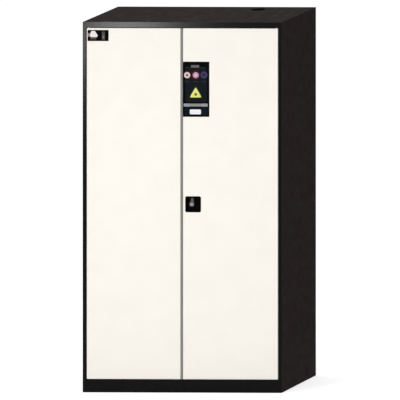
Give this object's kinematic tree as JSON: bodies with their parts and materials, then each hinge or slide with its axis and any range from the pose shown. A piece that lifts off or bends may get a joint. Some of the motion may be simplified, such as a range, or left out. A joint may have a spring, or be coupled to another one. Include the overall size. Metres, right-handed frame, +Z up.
{
  "type": "chemical storage cabinet",
  "caption": "Tall dark steel cabinet with white inset wing doors, recessed lever lock, tray shelves, sump and a roof exhaust collar.",
  "frame": {"origin": "on the floor under the middle of the cabinet", "axes": "front faces -Y, +X to the right of somebody who faces the doors, +Z up"},
  "size_m": [1.055, 0.52, 1.95],
  "materials": {
    "door_coat": "white textured powder coat",
    "carcass_coat": "dark textured powder coat",
    "inner_coat": "light grey powder coat",
    "zinc_sheet": "galvanised, dull",
    "bright_steel": "zinc plated",
    "lever_metal": "satin nickel",
    "cylinder_metal": "polished nickel",
    "gear_steel": "sintered, oiled",
    "black_plastic": "moulded, fine grain",
    "pale_plastic": "moulded nylon",
    "magnet_case": "moulded",
    "soft_rubber": "soft",
    "edge_strip": "firm, grey",
    "sign_face": "satin print",
    "badge_face": "satin print"
  },
  "bodies": {
    "cabinet": {"air_duct": "inner_coat", "air_plenum": "inner_coat", "base_rail_left": "zinc_sheet", "base_rail_right": "zinc_sheet", "door_buffers": "soft_rubber", "door_jamb_left": "carcass_coat", "door_jamb_right": "carcass_coat", "exhaust_collar": "carcass_coat", "floor_pan": "carcass_coat", "levelling_feet": "bright_steel", "magnet_catches": "magnet_case", "pivot_bushes": "pale_plastic", "plinth_front": "carcass_coat", "plinth_rear": "carcass_coat", "rear_panel": "carcass_coat", "rod_keepers": "bright_steel", "roof_panel": "carcass_coat", "shelf_clips": "bright_steel", "shelf_post_front_left": "zinc_sheet", "shelf_post_front_right": "zinc_sheet", "shelf_post_rear_left": "zinc_sheet", "shelf_post_rear_right": "zinc_sheet", "side_panel_left": "carcass_coat", "side_panel_right": "carcass_coat", "sump_grid": "zinc_sheet", "sump_tray": "zinc_sheet", "top_rail": "carcass_coat", "tray_shelf_1": "inner_coat", "tray_shelf_2": "inner_coat", "tray_shelf_3": "inner_coat", "tray_shelf_4": "inner_coat"},
    "left_door": {"left_door_skin": "door_coat", "left_door_liner": "door_coat", "left_door_stiffener": "zinc_sheet", "left_pivot_pins": "bright_steel", "left_door_strikes": "bright_steel", "catch_bracket": "bright_steel", "badge_plate": "badge_face", "meeting_strip": "edge_strip"},
    "right_door": {"right_door_skin": "door_coat", "right_door_liner": "door_coat", "right_door_stiffener": "zinc_sheet", "right_pivot_pins": "bright_steel", "right_door_strikes": "bright_steel", "sign_panel": "sign_face", "handle_dish": "black_plastic", "lock_base": "bright_steel", "lock_case": "bright_steel", "rod_guides": "black_plastic"},
    "handle": {"lever_handle": "lever_metal", "spindle": "bright_steel", "drive_gear": "gear_steel", "lock_tongue": "bright_steel", "spindle_nut": "bright_steel"},
    "lock_core": {"lock_cylinder": "cylinder_metal"},
    "upper_rod": {"upper_rod": "bright_steel"},
    "lower_rod": {"lower_rod": "bright_steel"}
  },
  "joints": [
    {"name": "left_door_hinge", "type": "hinge", "parent": "cabinet", "child": "left_door", "pos_m": [-0.4985, -0.25, 0.07], "axis": [0, 0, -1], "range_deg": [0, 105]},
    {"name": "right_door_hinge", "type": "hinge", "parent": "cabinet", "child": "right_door", "pos_m": [0.4985, -0.25, 0.07], "axis": [0, 0, 1], "range_deg": [0, 105]},
    {"name": "handle_turn", "type": "hinge", "parent": "right_door", "child": "handle", "pos_m": [0.05, -0.25, 0.9915], "axis": [0, 1, 0], "range_deg": [0, 90]},
    {"name": "key_turn", "type": "hinge", "parent": "handle", "child": "lock_core", "pos_m": [0.05, -0.2545, 0.9915], "axis": [0, 1, 0], "range_deg": [0, 90]},
    {"name": "upper_rod_slide", "type": "slide", "parent": "right_door", "child": "upper_rod", "axis": [0, 0, 1], "range_m": [0, 0.0189]},
    {"name": "lower_rod_slide", "type": "slide", "parent": "right_door", "child": "lower_rod", "axis": [0, 0, -1], "range_m": [0, 0.0189]}
  ],
  "couplings": [
    {"joint": "upper_rod_slide", "follows": "handle_turn", "m_per_rad": 0.012},
    {"joint": "lower_rod_slide", "follows": "handle_turn", "m_per_rad": 0.012}
  ]
}
